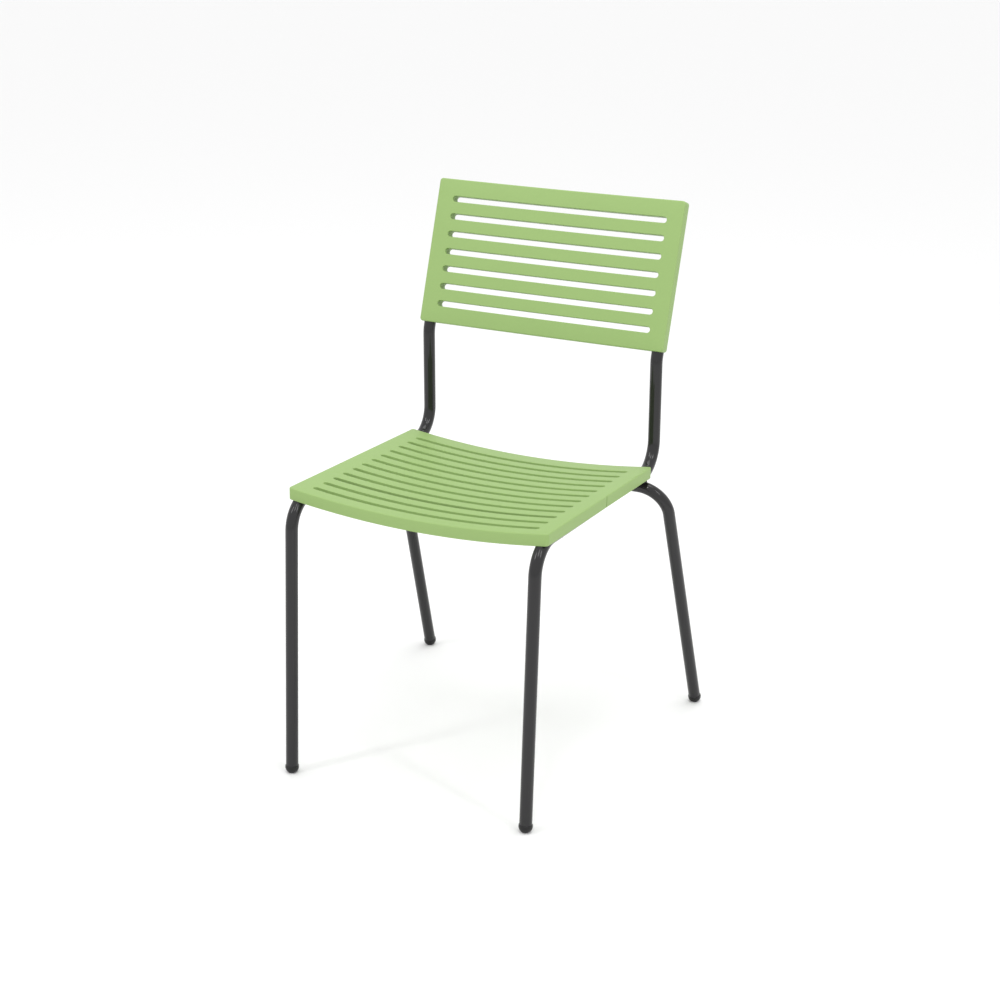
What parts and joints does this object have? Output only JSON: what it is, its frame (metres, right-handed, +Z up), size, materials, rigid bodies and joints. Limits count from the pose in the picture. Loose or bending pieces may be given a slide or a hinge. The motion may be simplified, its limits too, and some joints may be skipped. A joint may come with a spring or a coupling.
{
  "type": "stacking chair",
  "caption": "Armless stacking chair with a bent steel tube frame, a dished slotted plastic seat and a matching slotted back.",
  "frame": {"origin": "on the floor, midway between the four feet and in the chair's middle plane", "axes": "+Z up, the front of the chair faces -Y, +X to the right when the chair is seen from the front"},
  "size_m": [0.5224, 0.5515, 0.8359],
  "materials": {
    "powder_coated_tube": "satin dark grey powder coat",
    "moulded_panel": "finely textured moulded plastic, soft leaf green",
    "clip_plastic": "black moulded nylon",
    "glide_plastic": "black moulded plastic, slightly worn",
    "pad_rubber": "black rubbery plastic",
    "screw_steel": "bright zinc plate"
  },
  "bodies": {
    "root": {"left_side_frame": "powder_coated_tube", "right_side_frame": "powder_coated_tube", "rear_leg_hoop": "powder_coated_tube", "front_cross_tube": "powder_coated_tube", "hoop_welds": "powder_coated_tube", "cross_tube_welds": "powder_coated_tube", "front_left_seat_tab": "powder_coated_tube", "front_right_seat_tab": "powder_coated_tube", "rear_left_seat_tab": "powder_coated_tube", "rear_right_seat_tab": "powder_coated_tube", "seat_shell": "moulded_panel", "seat_screws": "screw_steel", "seat_washers": "screw_steel", "back_shell": "moulded_panel", "upper_left_back_clip": "clip_plastic", "upper_right_back_clip": "clip_plastic", "lower_left_back_clip": "clip_plastic", "lower_right_back_clip": "clip_plastic", "back_screws": "screw_steel", "left_upright_plug": "glide_plastic", "right_upright_plug": "glide_plastic", "front_left_glide": "glide_plastic", "front_right_glide": "glide_plastic", "rear_left_glide": "glide_plastic", "rear_right_glide": "glide_plastic", "left_stacking_pad": "pad_rubber", "right_stacking_pad": "pad_rubber"}
  },
  "joints": []
}
